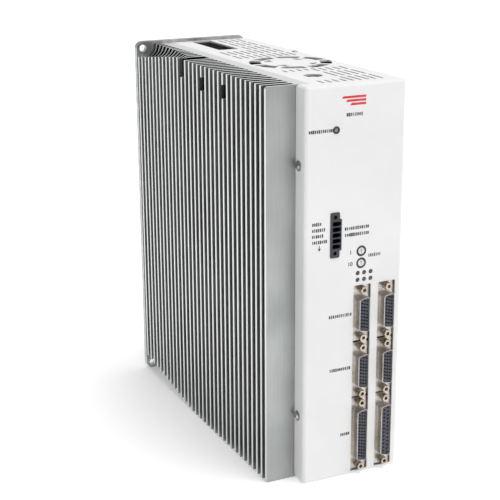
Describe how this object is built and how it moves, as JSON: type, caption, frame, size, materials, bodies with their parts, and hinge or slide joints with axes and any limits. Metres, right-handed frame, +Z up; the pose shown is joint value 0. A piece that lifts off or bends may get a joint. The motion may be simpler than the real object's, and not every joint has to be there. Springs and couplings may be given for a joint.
{
  "type": "servo drive",
  "caption": "Tall narrow servo drive: finned aluminium heat sink with wall plate, white folded cover with fan grille and vent slots, and a front panel with D-shaped ports and rotary selectors.",
  "frame": {"origin": "middle of the whole base, at the height of the bottom face", "axes": "+Z up, -Y towards the front panel with the ports, +Y towards the wall, +X to the right seen from the front; the heat sink's fins point to -X"},
  "size_m": [0.094, 0.251, 0.2724],
  "materials": {
    "sink_aluminium": "mill finish extrusion",
    "plate_aluminium": "satin plate",
    "cover_white": "fine white powder coat",
    "screw_steel": "zinc plated",
    "bracket_steel": "galvanised sheet",
    "fan_plastic": "moulded glass-filled plastic",
    "bearing_steel": "ground steel",
    "lamination": "stacked steel",
    "board_green": "solder-masked glass laminate",
    "module_black": "transfer-moulded epoxy",
    "pad_grey": "soft silicone",
    "can_aluminium": "sleeved can",
    "ferrite": "sintered",
    "winding_copper": "enamelled copper",
    "tape_yellow": "polyester tape",
    "relay_black": "moulded",
    "header_black": "moulded polyamide",
    "contact_gold": "gold flash",
    "nut_brass": "turned",
    "selector_black": "moulded",
    "selector_white": "moulded",
    "guide_clear": "smoky clear moulding",
    "lamp_green": "diffusing",
    "port_steel": "nickel-plated drawn steel",
    "port_plastic": "moulded polyester",
    "jack_steel": "nickel plated",
    "terminal_black": "moulded polyamide"
  },
  "bodies": {
    "root": {"heat_sink": "sink_aluminium", "rear_plate": "plate_aluminium", "rear_plate_screws": "screw_steel", "front_cover": "cover_white", "side_cover": "cover_white", "side_cover_screws": "screw_steel", "cover_screws": "screw_steel", "front_bracket": "bracket_steel", "tie_screws": "screw_steel", "fan_frame": "fan_plastic", "fan_bearings": "bearing_steel", "fan_stator": "lamination", "fan_studs": "screw_steel", "fan_nuts": "screw_steel", "power_board": "board_green", "control_board": "board_green", "io_board": "board_green", "board_posts": "nut_brass", "board_screws": "screw_steel", "board_link": "header_black", "thermal_pads": "pad_grey", "power_modules": "module_black", "bus_capacitors": "can_aluminium", "choke_core": "ferrite", "choke_winding": "winding_copper", "transformer_core": "ferrite", "transformer_winding": "tape_yellow", "supply_relay": "relay_black", "current_sensors": "relay_black", "earth_terminal": "nut_brass", "header_body": "header_black", "header_pins": "contact_gold", "header_nuts": "nut_brass", "selector_bodies": "selector_black", "light_pipes": "guide_clear", "status_lamps": "lamp_green", "supply_light": "lamp_green", "supply_light_collar": "selector_black", "port_contacts": "contact_gold", "port_jackscrews": "jack_steel", "power_terminal_block": "terminal_black", "power_terminal_clamps": "screw_steel", "motor_terminal_block": "terminal_black", "motor_terminal_clamps": "screw_steel", "port_shell_left_top": "port_steel", "port_insulator_left_top": "port_plastic", "port_shell_left_middle": "port_steel", "port_insulator_left_middle": "port_plastic", "port_shell_left_bottom": "port_steel", "port_insulator_left_bottom": "port_plastic", "port_shell_right_top": "port_steel", "port_insulator_right_top": "port_plastic", "port_shell_right_middle": "port_steel", "port_insulator_right_middle": "port_plastic", "port_shell_right_bottom": "port_steel", "port_insulator_right_bottom": "port_plastic"},
    "fan_rotor": {"fan_rotor": "fan_plastic", "fan_shaft": "bearing_steel"},
    "rotor_units": {"selector_rotor_units": "selector_white"},
    "rotor_tens": {"selector_rotor_tens": "selector_white"}
  },
  "joints": [
    {"name": "fan_spin", "type": "hinge", "parent": "root", "child": "fan_rotor", "pos_m": [0.0155, -0.0195, 0.258], "axis": [0, 0, 1], "continuous": true},
    {"name": "units_turn", "type": "hinge", "parent": "root", "child": "rotor_units", "pos_m": [0.0158, -0.1195, 0.1597], "axis": [0, -1, 0], "continuous": true},
    {"name": "tens_turn", "type": "hinge", "parent": "root", "child": "rotor_tens", "pos_m": [0.0158, -0.1195, 0.1515], "axis": [0, -1, 0], "continuous": true}
  ]
}
